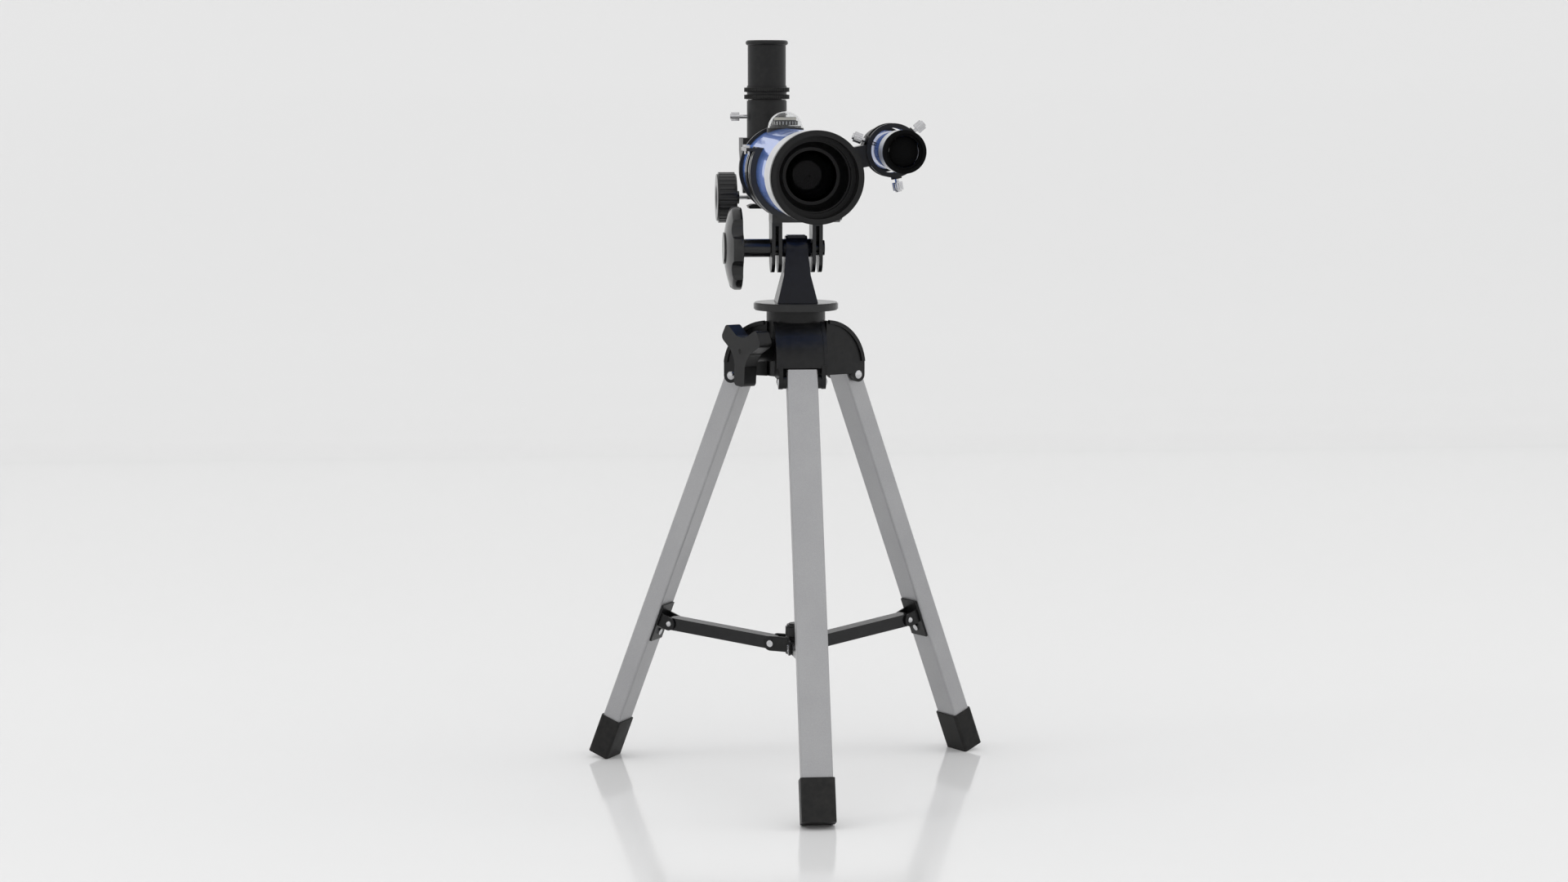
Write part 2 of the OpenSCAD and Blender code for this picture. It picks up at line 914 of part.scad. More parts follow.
module focuser_body() {
    flange_y = tube_rear_y + 4.02;
    rear_y = 156;
    color(black_plastic)
        difference() {
            union() {
                on_tube()
                    y_turned()
                        polygon([
                            [0, tube_rear_y - 4], [23.9, tube_rear_y - 4],
                            [23.9, flange_y], [30, flange_y],
                            [30, flange_y + 3], [22, flange_y + 14],
                            [22, rear_y - 4], [21, rear_y], [0, rear_y],
                        ]);
                on_tube()
                    y_rod(23.2, rear_y - 9, rear_y - 3);
                translate([-12.5, pinion_y - 13, pinion_z - 5.2])
                    cube([25, 26, 14]);
            }
            on_tube()
                y_rod(drawtube_r + pin_gap, 60, 200);
            translate([-3.4, 60, pinion_z - 1])
                cube([6.8, 140, 12]);
            translate([0, pinion_y, pinion_z])
                x_rod(5.2, -4.2, 4.2);
            translate([0, pinion_y, pinion_z])
                x_rod(pinion_shaft_r + pin_gap, -30, 30);
        }
}

module pinion_cover() {
    half_w = 24.5;
    half_l = 10;
    top_z = pinion_z - 5.25;
    chamfer = 3;
    color(black_plastic)
        translate([0, pinion_y, 0])
            rotate([90, 0, 0])
                linear_extrude(height = 2 * half_l, center = true)
                    polygon([
                        [-half_w, top_z - 1.2], [-half_w + chamfer, top_z],
                        [half_w - chamfer, top_z], [half_w, top_z - 1.2],
                        [half_w - 1, top_z - 3.2], [-half_w + 1, top_z - 3.2],
                    ]);
    color(bright_steel)
        for (x = [-9, 9], y = [-6, 6])
            translate([x, pinion_y + y, top_z - 4.3])
                cylinder(r = 2, h = 1.1);
}

module pinion_shaft() {
    gear_half = 3;
    color(bright_steel)
        translate([0, pinion_y, pinion_z]) {
            x_rod(pinion_shaft_r, -focus_knob_in - 8, focus_knob_in + 8);
            x_rod(pinion_pitch_r - 0.95, -gear_half, gear_half);
            for (tooth = [0:pinion_teeth - 1])
                rotate([tooth * 360 / pinion_teeth, 0, 0])
                    translate([-gear_half, -tooth_w / 2, 2])
                        cube([2 * gear_half, tooth_w, pinion_pitch_r + tooth_depth - 2]);
        }
}

module focus_knobs() {
    flutes = 30;
    color(black_plastic)
        for (side = [-1, 1])
            translate([0, pinion_y, pinion_z])
                scale([side, 1, 1])
                    difference() {
                        union() {
                            x_rod(focus_knob_r, focus_knob_in + 1.2, focus_knob_out - 1.4);
                            x_rod(focus_knob_r - 1.4, focus_knob_in, focus_knob_out);
                            x_rod(5, focus_knob_in - 2.5, focus_knob_in + 1);
                        }
                        for (flute = [0:flutes - 1])
                            rotate([flute * 360 / flutes, 0, 0])
                                translate([0, 0, focus_knob_r + 0.5])
                                    x_rod(1.1, focus_knob_in - 1, focus_knob_out + 1);
                        x_rod(pinion_shaft_r + 0.02, 0, focus_knob_in + 8.02);
                        translate([focus_knob_out + 24, 0, 0])
                            sphere(r = 26);
                    }
}

module drawtube() {
    color(bright_steel)
        on_tube()
            y_ring(drawtube_r, drawtube_r - drawtube_wall, drawtube_front_y, drawtube_rear_y);
}

module focus_rack() {
    rack_half_w = 2.8;
    teeth_each_way = 12;
    root_z = pinion_z + pinion_pitch_r + 0.75;
    color(bright_steel)
        difference() {
            union() {
                translate([-rack_half_w, pinion_y - (teeth_each_way + 1) * tooth_pitch, root_z])
                    cube([2 * rack_half_w, (2 * teeth_each_way + 2) * tooth_pitch, 2.4]);
                for (tooth = [-teeth_each_way:teeth_each_way - 1])
                    translate([-rack_half_w, pinion_y + (tooth + 0.5) * tooth_pitch - tooth_w / 2,
                               root_z - 0.75 - tooth_depth])
                        cube([2 * rack_half_w, tooth_w, 0.75 + tooth_depth + 0.1]);
            }
            on_tube()
                y_rod(drawtube_r + 0.02, 0, 300);
        }
}

// ---------- diagonal and eyepiece ----------

// Everything under a plane that rises at 45 degrees through this y on the optical axis
module below_slope(back_y) {
    translate([0, back_y, 0])
        rotate([45, 0, 0])
            translate([-40, -60, -60])
                cube([80, 120, 60]);
}

module diagonal_housing() {
    front_y = eyepiece_y - diagonal_half;
    back_wall = 9;
    bore_r = 12.3;
    pocket = prism_half + pin_gap;
    color(black_plastic)
        on_tube()
            difference() {
                union() {
                    translate([-diagonal_half, front_y, -diagonal_h / 2])
                        cube([2 * diagonal_half, 2 * diagonal_half, diagonal_h]);
                    y_rod(17.6, drawtube_rear_y + 0.5, front_y + 1);
                    y_rod(drawtube_r - drawtube_wall - 0.05, drawtube_rear_y - 20, front_y + 1);
                }
                below_slope(eyepiece_y + back_wall);
                difference() {
                    union() {
                        y_rod(bore_r, drawtube_rear_y - 30, eyepiece_y);
                        translate([0, eyepiece_y, 0])
                            cylinder(r = bore_r, h = 60);
                        translate([-pocket, eyepiece_y - pocket, -pocket])
                            cube(2 * pocket);
                    }
                    below_slope(eyepiece_y + pin_gap);
                }
                translate([0, eyepiece_y, diagonal_h / 2 - 3])
                    cylinder(r = 14.52, h = 10);
            }
}

// A right-angle prism: its faces look forward and up, its long face slopes at the back
module diagonal_prism() {
    color(clear_glass, 0.6)
        translate([-prism_half, eyepiece_y, optical_z])
            rotate([90, 0, 90])
                linear_extrude(height = 2 * prism_half)
                    polygon([[-prism_half, -prism_half], [-prism_half, prism_half],
                             [prism_half, prism_half]]);
}

module eyepiece_holder() {
    base_z = optical_z + diagonal_h / 2;
    color(black_plastic)
        difference() {
            translate([0, eyepiece_y, 0])
                union() {
                    translate([0, 0, base_z + 0.02])
                        cylinder(r = holder_r, h = holder_top_z - base_z - 0.8);
                    translate([0, 0, base_z + 2])
                        cylinder(r = holder_r - 0.8, h = holder_top_z - base_z - 2);
                    translate([0, 0, base_z - 2.95])
                        cylinder(r = 14.5, h = 5);
                }
            translate([0, eyepiece_y, base_z - 5])
                cylinder(r = eyepiece_barrel_r + pin_gap, h = 60);
            translate([0, eyepiece_y, lock_screw_z])
                x_rod(1.5 + pin_gap, -30, 0);
        }
}

module eyepiece_lock_screw() {
    color(bright_steel)
        translate([0, eyepiece_y, lock_screw_z])
            difference() {
                union() {
                    x_rod(1.5, -23, -eyepiece_barrel_r - 0.1);
                    x_rod(3.5, -29, -22.4);
                    x_rod(2.2, -29.8, -29);
                }
                for (flute = [0:11])
                    rotate([flute * 30, 0, 0])
                        translate([0, 0, 3.8])
                            x_rod(0.5, -28.5, -22);
            }
}

// Grip ring of the eyepiece: a bead with rounded top and bottom
module grip_ring(z0, h, r) {
    translate([0, 0, z0])
        rotate_extrude()
            union() {
                square([r - h / 2, h]);
                translate([r - h / 2, h / 2])
                    circle(r = h / 2);
            }
}

module eyepiece_body() {
    ring_h = 4;
    neck_r = 16;
    ring_z = holder_top_z + 0.2;
    lip_h = 4;
    lip_r = 17.1;
    color(black_plastic)
        translate([0, eyepiece_y, 0])
            difference() {
                union() {
                    translate([0, 0, ring_z - 23])
                        cylinder(r = eyepiece_barrel_r, h = 25);
                    grip_ring(ring_z, ring_h, eyepiece_ring_r);
                    translate([0, 0, ring_z])
                        cylinder(r = neck_r, h = 11);
                    grip_ring(ring_z + 5.7, ring_h, eyepiece_ring_r);
                    translate([0, 0, ring_z])
                        cylinder(r = eyepiece_tube_r, h = eyepiece_top_z - ring_z - 2);
                    grip_ring(eyepiece_top_z - lip_h, lip_h, lip_r);
                }
                translate([0, 0, ring_z - 25])
                    cylinder(r = eyepiece_barrel_r - 1.2, h = 40);
                translate([0, 0, ring_z + 10])
                    cylinder(r = 12.8, h = eyepiece_top_z - ring_z - 18);
                translate([0, 0, ring_z + 20])
                    cylinder(r = 9, h = 60);
                translate([0, 0, eyepiece_top_z + 7])
                    sphere(r = 14);
            }
}

module eyepiece_lens() {
    color(clear_glass, 0.5)
        translate([0, eyepiece_y, eyepiece_top_z - 8.3])
            rotate([90, 0, 0])
                y_lens(8.95, 0, 3.9, 20);
}

// ---------- finder ----------

module finder_bracket() {
    stalk_angle = atan2(-finder_up, -finder_x);
    stalk_h = 16;
    between = sqrt(finder_x * finder_x + finder_up * finder_up);
    front_y = finder_ring_y - finder_ring_len / 2;
    color(black_plastic)
        difference() {
            union() {
                on_finder()
                    y_rod(finder_ring_r, front_y, front_y + finder_ring_len);
                on_finder()
                    for (end_y = [front_y, front_y + finder_ring_len - 4])
                        y_rod(finder_ring_r + 1, end_y, end_y + 4);
                on_finder()
                    rotate([0, -stalk_angle, 0])
                        translate([17, front_y + 3, -stalk_h / 2])
                            cube([between - 17 - tube_r + 1, finder_ring_len - 6, stalk_h]);
                on_finder()
                    rotate([0, -stalk_angle, 0])
                        translate([between - tube_r - 3, front_y, -15])
                            cube([4.5, finder_ring_len + 8, 30]);
                for (angle = finder_screw_angles)
                    on_finder()
                        rotate([0, -angle, 0])
                            translate([0, finder_ring_y, 0])
                                x_rod(4, 17, 21.5);
            }
            on_finder()
                y_rod(finder_ring_bore, -60, 140);
            on_tube()
                y_rod(tube_r + 0.02, -60, 140);
            for (angle = finder_screw_angles)
                on_finder()
                    rotate([0, -angle, 0])
                        translate([0, finder_ring_y, 0])
                            x_rod(finder_screw_r + pin_gap, 10, 30);
        }
}

module finder_screw(index) {
    color(bright_steel)
        on_finder()
            rotate([0, -finder_screw_angles[index - 1], 0])
                translate([0, finder_ring_y, 0])
                    difference() {
                        union() {
                            x_rod(finder_screw_r, finder_r + 0.05, 25);
                            x_rod(3.9, 24, 30);
                            x_rod(2.4, 30, 31.2);
                        }
                        for (flute = [0:11])
                            rotate([flute * 30, 0, 0])
                                translate([0, 0, 4.2])
                                    x_rod(0.6, 24.6, 29.4);
                    }
}

module finder_tube() {
    color(tube_blue)
        on_finder()
            y_ring(finder_r, finder_r - 1, finder_front_y + 26, 76);
}

module finder_sleeve() {
    color(satin_silver)
        on_finder()
            difference() {
                y_rod(15.4, finder_front_y + 5, finder_front_y + 30);
                y_rod(finder_r - 1, finder_front_y, finder_front_y + 40);
                y_rod(finder_r + 0.02, finder_front_y + 25.9, finder_front_y + 40);
            }
}

module finder_objective() {
    color(black_plastic)
        on_finder()
            difference() {
                union() {
                    y_rod(15.7, finder_front_y, finder_front_y + 4.98);
                    y_rod(finder_r - 1.02, finder_front_y + 4, finder_front_y + 14);
                }
                y_rod(13.2, finder_front_y - 1, finder_front_y + 3);
                y_rod(finder_lens_r - 0.6, finder_front_y - 1, finder_front_y + 5);
                y_rod(finder_lens_r, finder_front_y + 5, finder_front_y + 15);
            }
    color(clear_glass, 0.5)
        on_finder()
            y_lens(finder_lens_r - 0.02, finder_front_y + 5.2, 3.6, 32);
}

module finder_eyepiece() {
    color(black_plastic)
        on_finder()
            difference() {
                union() {
                    y_rod(finder_r - 1.02, 66, 80);
                    y_rod(16.9, 76.02, 92);
                    y_rod(12.5, 90, 100);
                    y_rod(11, 98, 112);
                    y_rod(12, 108, 112);
                }
                y_rod(10.5, 60, 88);
                y_rod(5, 80, 120);
                translate([0, 116, 0])
                    sphere(r = 9);
            }
}

// ---------- compass ----------

module compass_base() {
    floor_r = compass_r - compass_wall - 0.3;
    pin_h = 2.2;
    color(black_plastic)
        translate([0, compass_y, 0])
            difference() {
                union() {
                    translate([0, 0, compass_z - 8])
                        cylinder(r = compass_r + 0.7, h = 8);
                    translate([0, 0, compass_z - 8])
                        cylinder(r = floor_r, h = 8 + compass_floor_up);
                    translate([0, 0, compass_z])
                        cylinder(r = compass_pin_r, h = compass_floor_up + pin_h);
                }
                on_tube()
                    y_rod(tube_r + 0.02, -40, 40, $fn = 360);
            }
}

// The floating card: a drum for the bearing marks, with a narrower one on it
module compass_card() {
    card_up = 0.4;
    color(black_plastic)
        translate([0, compass_y, compass_z + compass_floor_up + card_up])
            difference() {
                union() {
                    cylinder(r = card_r, h = card_drum_h);
                    cylinder(r = card_top_r, h = card_h);
                }
                translate([0, 0, -1])
                    cylinder(r = compass_pin_r + pin_gap, h = 3.4);
            }
}

module compass_dome() {
    color(clear_glass, 0.35)
        translate([0, compass_y, compass_z])
            difference() {
                intersection() {
                    translate([0, 0, -dome_sink])
                        sphere(r = compass_r);
                    cylinder(r = compass_r + 1, h = 30);
                }
                translate([0, 0, -dome_sink])
                    sphere(r = compass_r - compass_wall);
            }
}

// ---------- every piece ----------

tripod_head();
leg_pivot_rivets();
azimuth_bolt();
leg_tube(1);  // leg_1_tube
leg_tube(2);  // leg_2_tube
leg_tube(3);  // leg_3_tube
leg_foot(1);  // leg_1_foot
leg_foot(2);  // leg_2_foot
leg_foot(3);  // leg_3_foot
leg_bracket(1);  // leg_1_bracket
leg_bracket(2);  // leg_2_bracket
leg_bracket(3);  // leg_3_bracket
leg_rivets(1);  // leg_1_rivets
leg_rivets(2);  // leg_2_rivets
leg_rivets(3);  // leg_3_rivets
brace(1);  // brace_1
brace(2);  // brace_2
brace(3);  // brace_3
spreader_hub();
hub_rivets();
hub_knob();
azimuth_lock_knob();
azimuth_lock_stud();
turntable();
pedestal();
tilt_bolt();
tilt_knob();
left_arm();
right_arm();
cradle();
cradle_screws();
main_tube();
dew_shield();
front_rim();
lens_cell();
objective_lens();
tube_end_ring();
focuser_body();
pinion_cover();
pinion_shaft();
focus_knobs();
drawtube();
focus_rack();
diagonal_housing();
diagonal_prism();
eyepiece_holder();
eyepiece_lock_screw();
eyepiece_body();
eyepiece_lens();
finder_bracket();
finder_tube();
finder_sleeve();
finder_objective();
finder_eyepiece();
finder_screw(1);  // finder_screw_1
finder_screw(2);  // finder_screw_2
finder_screw(3);  // finder_screw_3
compass_base();
compass_card();
compass_dome();
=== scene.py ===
"""Looks for the small blue refractor: materials, small details, studio and camera round the CAD part."""

import json
import math

import bpy
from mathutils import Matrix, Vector

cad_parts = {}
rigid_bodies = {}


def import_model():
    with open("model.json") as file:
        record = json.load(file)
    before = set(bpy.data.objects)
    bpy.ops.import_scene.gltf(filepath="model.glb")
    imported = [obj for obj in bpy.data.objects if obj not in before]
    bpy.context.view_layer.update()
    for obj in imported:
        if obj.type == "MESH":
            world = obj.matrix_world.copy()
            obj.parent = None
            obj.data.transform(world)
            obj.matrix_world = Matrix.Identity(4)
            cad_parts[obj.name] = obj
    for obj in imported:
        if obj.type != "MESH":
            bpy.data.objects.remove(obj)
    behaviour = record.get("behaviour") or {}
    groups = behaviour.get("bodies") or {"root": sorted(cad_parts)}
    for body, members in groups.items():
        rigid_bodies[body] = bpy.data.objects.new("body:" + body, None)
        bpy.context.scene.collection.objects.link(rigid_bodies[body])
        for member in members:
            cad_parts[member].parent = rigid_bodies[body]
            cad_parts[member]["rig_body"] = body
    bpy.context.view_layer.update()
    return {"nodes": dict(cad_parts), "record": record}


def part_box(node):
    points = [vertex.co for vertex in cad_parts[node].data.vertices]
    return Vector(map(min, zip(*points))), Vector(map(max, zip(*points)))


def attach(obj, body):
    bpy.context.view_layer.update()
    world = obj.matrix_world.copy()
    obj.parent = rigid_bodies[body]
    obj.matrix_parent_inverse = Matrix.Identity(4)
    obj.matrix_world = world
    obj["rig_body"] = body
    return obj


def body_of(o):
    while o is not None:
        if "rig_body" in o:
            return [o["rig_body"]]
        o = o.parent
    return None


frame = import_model()
record = frame["record"]
nodes = frame["nodes"]

MM = 0.001
LEGS = (1, 2, 3)
FOOT_EDGE = 0.6
EYEPIECE_GRIPS = ((501.1, 504.5), (506.8, 510.2))  # heights above the floor, in millimetres
EYEPIECE_GRIP_R = 18.0
GRIP_RIBS = 64
CARD_MARKS = 24


# ---------- materials ----------

class Shader:
    """A node material with one Principled shader, and short ways to add nodes to it."""

    def __init__(self, name):
        self.material = bpy.data.materials.new(name)
        self.material.use_nodes = True
        self.tree = self.material.node_tree
        self.bsdf = self.tree.nodes["Principled BSDF"]

    def node(self, kind, **values):
        made = self.tree.nodes.new(kind)
        for key, value in values.items():
            if key in made.inputs:
                made.inputs[key].default_value = value
            else:
                setattr(made, key, value)
        return made

    def link(self, source, target):
        self.tree.links.new(source, target)

    def set(self, **values):
        for key, value in values.items():
            self.bsdf.inputs[key.replace("_", " ")].default_value = value

    def coords(self, scale=(1, 1, 1)):
        """Object coordinates, in metres, stretched by scale."""
        source = self.node("ShaderNodeTexCoord")
        mapping = self.node("ShaderNodeMapping")
        mapping.inputs["Scale"].default_value = scale
        self.link(source.outputs["Object"], mapping.inputs["Vector"])
        return mapping.outputs["Vector"]

    def noise(self, vector, scale, detail=3.0, roughness=0.55):
        made = self.node("ShaderNodeTexNoise", Scale=scale, Detail=detail, Roughness=roughness)
        self.link(vector, made.inputs["Vector"])
        return made.outputs["Fac"]

    def ramp(self, factor, low, high, start=0.35, end=0.65):
        """Maps a factor between two numbers."""
        made = self.node("ShaderNodeMapRange")
        made.inputs["From Min"].default_value = start
        made.inputs["From Max"].default_value = end
        made.inputs["To Min"].default_value = low
        made.inputs["To Max"].default_value = high
        self.link(factor, made.inputs["Value"])
        return made.outputs["Result"]

    def blend_colour(self, factor, first, second):
        made = self.node("ShaderNodeMix", data_type="RGBA")
        colours = [socket for socket in made.inputs if socket.type == "RGBA"]
        colours[0].default_value = (*first, 1)
        colours[1].default_value = (*second, 1)
        self.link(factor, made.inputs["Factor"])
        return [socket for socket in made.outputs if socket.type == "RGBA"][0]

    def add(self, first, second, operation="ADD"):
        made = self.node("ShaderNodeMath", operation=operation)
        for socket, value in zip(made.inputs, (first, second)):
            if isinstance(value, (int, float)):
                socket.default_value = value
            else:
                self.link(value, socket)
        return made.outputs["Value"]

    def bump(self, height, strength, distance):
        made = self.node("ShaderNodeBump", Strength=strength, Distance=distance)
        self.link(height, made.inputs["Height"])
        self.link(made.outputs["Normal"], self.bsdf.inputs["Normal"])


def worn(name, colour, dusty, roughness, spread, grain, grain_depth, metallic=0.0, specular=0.5, tint=None,
         coat=0.0):
    """A moulded or painted finish: cloudy roughness, a little dust in the colour and a fine grain."""
    shader = Shader(name)
    vector = shader.coords()
    cloud = shader.noise(vector, 9.0, detail=4.0)
    fine = shader.noise(vector, grain, detail=2.0)
    specks = shader.noise(vector, 210.0, detail=2.0)
    dust = shader.ramp(shader.add(cloud, specks, "MULTIPLY"), 0.0, 1.0, 0.18, 0.42)
    colour_out = shader.blend_colour(dust, colour, dusty)
    shader.link(colour_out, shader.bsdf.inputs["Base Color"])
    shader.link(shader.ramp(shader.add(cloud, shader.ramp(specks, -0.08, 0.08)), roughness - spread,
                            roughness + spread), shader.bsdf.inputs["Roughness"])
    shader.set(Metallic=metallic, Specular_IOR_Level=specular, Coat_Weight=coat)
    if tint:
        shader.set(Specular_Tint=(*tint, 1.0))
    shader.bump(fine, 0.35, grain_depth)
    return shader.material


def brushed(name, colour, dark, roughness, scale, spread=0.08):
    """Bare metal with fine streaks: long along the axis that scale makes small."""
    shader = Shader(name)
    streaks = shader.noise(shader.coords(scale), 1.0, detail=3.0, roughness=0.7)
    cloud = shader.noise(shader.coords(), 16.0, detail=4.0)
    mixed = shader.add(shader.ramp(streaks, 0.0, 0.6), shader.ramp(cloud, 0.0, 0.4))
    shader.link(shader.blend_colour(mixed, colour, dark), shader.bsdf.inputs["Base Color"])
    shader.link(shader.ramp(mixed, roughness - spread, roughness + spread, 0.0, 1.0),
                shader.bsdf.inputs["Roughness"])
    shader.set(Metallic=1.0)
    shader.bump(streaks, 0.25, 4e-6)
    return shader.material


def clear(name, tint, ior, roughness):
    """Glass or clear plastic, with a faint haze of smudges."""
    shader = Shader(name)
    cloud = shader.noise(shader.coords(), 60.0, detail=4.0)
    shader.link(shader.ramp(cloud, roughness, roughness + 0.05), shader.bsdf.inputs["Roughness"])
    shader.link(shader.blend_colour(shader.ramp(cloud, 0.0, 1.0), tint, tuple(0.94 * c for c in tint)),
                shader.bsdf.inputs["Base Color"])
    shader.set(Transmission_Weight=1.0, IOR=ior)
    return shader.material


def sprayed(name, colour, dark, roughness, metallic):
    """Silver paint with a fine, even grain."""
    shader = Shader(name)
    vector = shader.coords()
    grain = shader.noise(vector, 1500.0, detail=2.0, roughness=0.7)
    cloud = shader.noise(vector, 22.0, detail=4.0)
    mixed = shader.add(shader.ramp(grain, 0.0, 0.7, 0.25, 0.75), shader.ramp(cloud, 0.0, 0.3))
    shader.link(shader.blend_colour(mixed, colour, dark), shader.bsdf.inputs["Base Color"])
    shader.link(shader.ramp(mixed, roughness - 0.06, roughness + 0.06, 0.0, 1.0),
                shader.bsdf.inputs["Roughness"])
    shader.set(Metallic=metallic)
    shader.bump(grain, 0.30, 1.2e-5)
    return shader.material


SOOT = (0.0046, 0.0047, 0.0052)
NIGHT = (0.0036, 0.0042, 0.0085)
materials = {
    "matte_black": worn("matte_black", SOOT, (0.012, 0.012, 0.012), 0.38, 0.06, 2600.0, 1.5e-5,
                        specular=0.26),
    "gloss_black": worn("gloss_black", SOOT, (0.009, 0.009, 0.009), 0.17, 0.04, 900.0, 3e-6, specular=0.40),
    "black_enamel": worn("black_enamel", SOOT, (0.010, 0.010, 0.011), 0.22, 0.05, 700.0, 4e-6,
                         specular=0.32),
    "rubber_black": worn("rubber_black", (0.008, 0.008, 0.008), (0.020, 0.019, 0.018), 0.50, 0.08, 1800.0,
                         3e-5, specular=0.22),
    "blue_enamel": worn("blue_enamel", (0.15, 0.34, 0.98), (0.13, 0.31, 0.94), 0.24, 0.03, 500.0, 2e-6,
                        metallic=0.62, tint=(0.45, 0.62, 1.0), coat=0.7),
    "satin_silver": worn("satin_silver", (0.70, 0.70, 0.71), (0.64, 0.64, 0.645), 0.34, 0.04, 1500.0,
                         6e-6, metallic=0.6),
    "bright_steel": brushed("bright_steel", (0.56, 0.56, 0.57), (0.40, 0.40, 0.41), 0.17, (700, 700, 700)),
    "drawtube_chrome": brushed("drawtube_chrome", (0.80, 0.81, 0.83), (0.70, 0.71, 0.73), 0.12,
                               (20, 1800, 20), spread=0.04),
    "leg_aluminium": sprayed("leg_aluminium", (0.38, 0.38, 0.385), (0.31, 0.31, 0.32), 0.36, 0.60),
    # The lens glass is tinted nearly black: painted shade standing in for the dark inside of the tube seen
    # through the lens.
    "clear_lens": clear("clear_lens", (0.05, 0.06, 0.08), 1.18, 0.0),
    "clear_dome": clear("clear_dome", (0.97, 0.98, 0.98), 1.35, 0.0),
}
anti_reflection_black = worn("anti_reflection_black", (0.003, 0.003, 0.003), (0.005, 0.005, 0.005), 0.80,
                             0.05, 2000.0, 1e-5, specular=0.06)
deep_black = worn("deep_black", (0.0050, 0.0050, 0.0054), (0.009, 0.009, 0.009), 0.34, 0.05, 1500.0, 6e-6,
                  specular=0.22)
midnight_enamel = worn("midnight_enamel", NIGHT, (0.006, 0.007, 0.012), 0.20, 0.05, 800.0, 4e-6,
                       specular=0.20)
mark_white = worn("mark_white", (0.72, 0.72, 0.70), (0.60, 0.60, 0.57), 0.45, 0.05, 2400.0, 4e-6)
mark_cream = worn("mark_cream", (0.60, 0.57, 0.48), (0.50, 0.47, 0.39), 0.45, 0.05, 2400.0, 4e-6)
OWN_FINISH = {
    "front_rim": deep_black,
    "lens_cell": deep_black,
    # The finder objective is drawn in flat black instead of glass, so its front shows as a plain dark disc.
    "finder_objective": anti_reflection_black,
    "pedestal": midnight_enamel,
}
SLOTS = {part["node"]: part["material_slot"] for part in record["subparts"]}


def set_material(obj, material):
    obj.data.materials.clear()
    obj.data.materials.append(material)


# ---------- finishing the CAD nodes ----------

def soften(obj, width, angle=38.0):
    """Rounds an object's sharp edges a little, as moulding, casting or tumbling does."""
    weld = obj.modifiers.new("weld", "WELD")
    weld.merge_threshold = 1e-6
    bevel = obj.modifiers.new("bevel", "BEVEL")
    bevel.width = width
    bevel.segments = 2
    bevel.limit_method = "ANGLE"
    bevel.angle_limit = math.radians(angle)
    bevel.harden_normals = True
    bevel.use_clamp_overlap = True


def blacken_inside(obj, axis_x, axis_z):
    """Anti-reflection black on the faces that look inward at an axis along Y."""
    obj.data.materials.append(anti_reflection_black)
    black = len(obj.data.materials) - 1
    axis = Vector((axis_x, 0.0, axis_z))
    for face in obj.data.polygons:
        outward = Vector((face.center.x, 0.0, face.center.z)) - axis
        if face.normal.dot(outward) < -0.3 * outward.length:
            face.material_index = black


SOFT_EDGES = {"diagonal_housing": 1.2, "pedestal": 0.6}
optical_axis_z = sum(corner[2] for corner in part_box("main_tube")) / 2
for name, obj in nodes.items():
    set_material(obj, OWN_FINISH.get(name, materials[SLOTS[name]]))
    if name in SOFT_EDGES:
        soften(obj, SOFT_EDGES[name] * MM)
for name in ("main_tube", "drawtube", "dew_shield"):
    blacken_inside(nodes[name], 0.0, optical_axis_z)
for leg in LEGS:
    soften(nodes[f"leg_{leg}_foot"], FOOT_EDGE * MM)


# ---------- small details ----------

def make_object(name, data):
    obj = bpy.data.objects.new(name, data)
    bpy.context.scene.collection.objects.link(obj)
    return obj


def ring_pieces(name, node, material, count, cover, inner_r, outer_r, low, high, across=2):
    """Upright pieces in a ring round a node's middle; cover is the share of the ring they take up."""
    (x_low, y_low, z_low), (x_high, y_high, _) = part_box(node)
    centre_x = (x_low + x_high) / 2
    centre_y = (y_low + y_high) / 2
    vertices = []
    faces = []
    for piece in range(count):
        first = len(vertices)
        for step in range(across + 1):
            angle = 2 * math.pi * (piece + cover * (step / across - 0.5)) / count
            for radius, height in ((inner_r, low), (outer_r, low), (outer_r, high), (inner_r, high)):
                vertices.append((
                    centre_x + radius * MM * math.cos(angle),
                    centre_y + radius * MM * math.sin(angle),
                    z_low + height * MM,
                ))
        for step in range(across):
            here = first + 4 * step
            for side in range(4):
                after = (side + 1) % 4
                faces.append((here + side, here + after, here + 4 + after, here + 4 + side))
        last = first + 4 * across
        if cover < 1.0:
            faces.append((first + 3, first + 2, first + 1, first))
            faces.append((last, last + 1, last + 2, last + 3))
    mesh = bpy.data.meshes.new(name)
    mesh.from_pydata(vertices, [], faces)
    mesh.update()
    obj = make_object(name, mesh)
    set_material(obj, material)
    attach(obj, body_of(nodes[node])[0])
    return obj


def compass_marks():
    """Bearing marks round the floating card, and the pale ring above them."""
    ring_pieces("compass_card_marks", "compass_card", mark_white, CARD_MARKS, 0.16, 9.4, 9.68, 0.5, 2.9)
    ring_pieces("compass_card_ring", "compass_card", mark_cream, 4, 1.0, 8.0, 8.28, 4.0, 5.9, across=16)


def eyepiece_ribs():
    """The fine upright ribs of the two grip rings on the eyepiece."""
    low_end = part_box("eyepiece_body")[0][2] / MM
    for number, (low, high) in enumerate(EYEPIECE_GRIPS, start=1):
        ring_pieces(f"eyepiece_ribs_{number}", "eyepiece_body", materials["rubber_black"], GRIP_RIBS, 0.5,
                    EYEPIECE_GRIP_R - 0.1, EYEPIECE_GRIP_R + 0.28, low - low_end, high - low_end)


compass_marks()
eyepiece_ribs()


# ---------- studio ----------


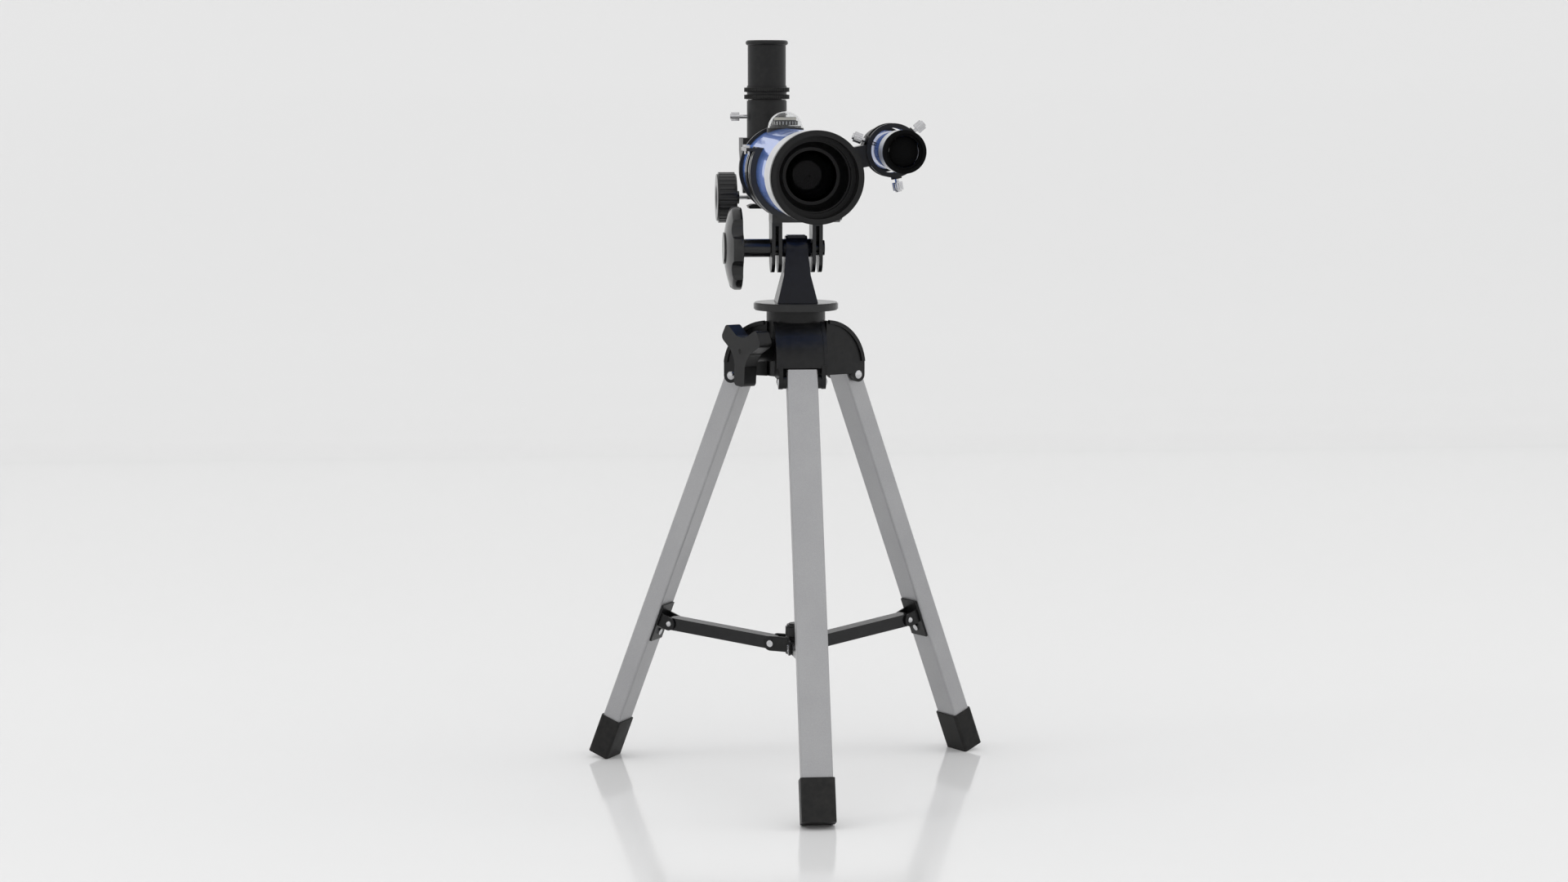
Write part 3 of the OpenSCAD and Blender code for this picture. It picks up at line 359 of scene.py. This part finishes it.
def backdrop():
    """A pale floor that curves up into a wall behind the object."""
    half_width = 8.0
    wall_y = 4.0
    curve_r = 2.0
    front_y = -6.0
    steps = 24
    profile = [(front_y, 0.0)]
    for step in range(steps + 1):
        angle = math.radians(90.0 * step / steps)
        profile.append((wall_y - curve_r + curve_r * math.sin(angle), curve_r - curve_r * math.cos(angle)))
    profile.append((wall_y, 7.0))
    vertices = [(x, y, z) for y, z in profile for x in (-half_width, half_width)]
    faces = [(2 * i, 2 * i + 1, 2 * i + 3, 2 * i + 2) for i in range(len(profile) - 1)]
    mesh = bpy.data.meshes.new("backdrop")
    mesh.from_pydata(vertices, [], faces)
    mesh.update()
    for face in mesh.polygons:
        face.use_smooth = True
    obj = make_object("backdrop", mesh)
    shader = Shader("backdrop")
    cloud = shader.noise(shader.coords(), 0.8, detail=2.0)
    shader.link(shader.blend_colour(cloud, (0.79, 0.79, 0.79), (0.80, 0.80, 0.80)),
                shader.bsdf.inputs["Base Color"])
    shader.link(shader.ramp(cloud, 0.09, 0.12), shader.bsdf.inputs["Roughness"])
    shader.set(Specular_IOR_Level=0.5)
    set_material(obj, shader.material)


def area_light(name, position, target, size, power):
    """A soft square lamp that lights surfaces but isn't seen in their reflections."""
    light = bpy.data.lights.new(name, "AREA")
    light.energy = power
    light.size = size
    obj = make_object(name, light)
    obj.location = position
    aim = Vector(target) - Vector(position)
    obj.rotation_euler = aim.to_track_quat("-Z", "Y").to_euler()
    obj.visible_glossy = False


SKY_STRENGTH = 1.06


def studio():
    """Even white surroundings and one lamp from each side."""
    backdrop()
    world = bpy.data.worlds.new("studio")
    world.use_nodes = True
    background = world.node_tree.nodes["Background"]
    background.inputs["Color"].default_value = (1.0, 1.0, 1.0, 1.0)
    background.inputs["Strength"].default_value = SKY_STRENGTH
    bpy.context.scene.world = world
    centre = (0.0, 0.0, 0.35)
    area_light("key", (-2.4, -0.5, 1.9), centre, 0.9, 8.5)
    area_light("fill", (2.4, -0.3, 1.2), centre, 1.0, 6.5)
    scene = bpy.context.scene
    scene.view_settings.view_transform = "Standard"
    scene.view_settings.look = "None"


def camera():
    """The photograph's view: solved from the tripod's corners, then fitted to the tube."""
    distance = 2.160
    height = 0.5005
    azimuth = math.radians(5.6)
    look_right = math.radians(-0.23)
    look_down = math.radians(6.59)
    focal_in_widths = 3617.0 / 1920.0
    data = bpy.data.cameras.new("camera")
    data.sensor_width = 36.0
    data.lens = 36.0 * focal_in_widths
    data.clip_end = 100.0
    obj = make_object("camera", data)
    obj.location = (-distance * math.sin(azimuth), -distance * math.cos(azimuth), height)
    obj.rotation_euler = (math.radians(90.0) - look_down, 0.0, -azimuth - look_right)
    bpy.context.scene.camera = obj


studio()
camera()
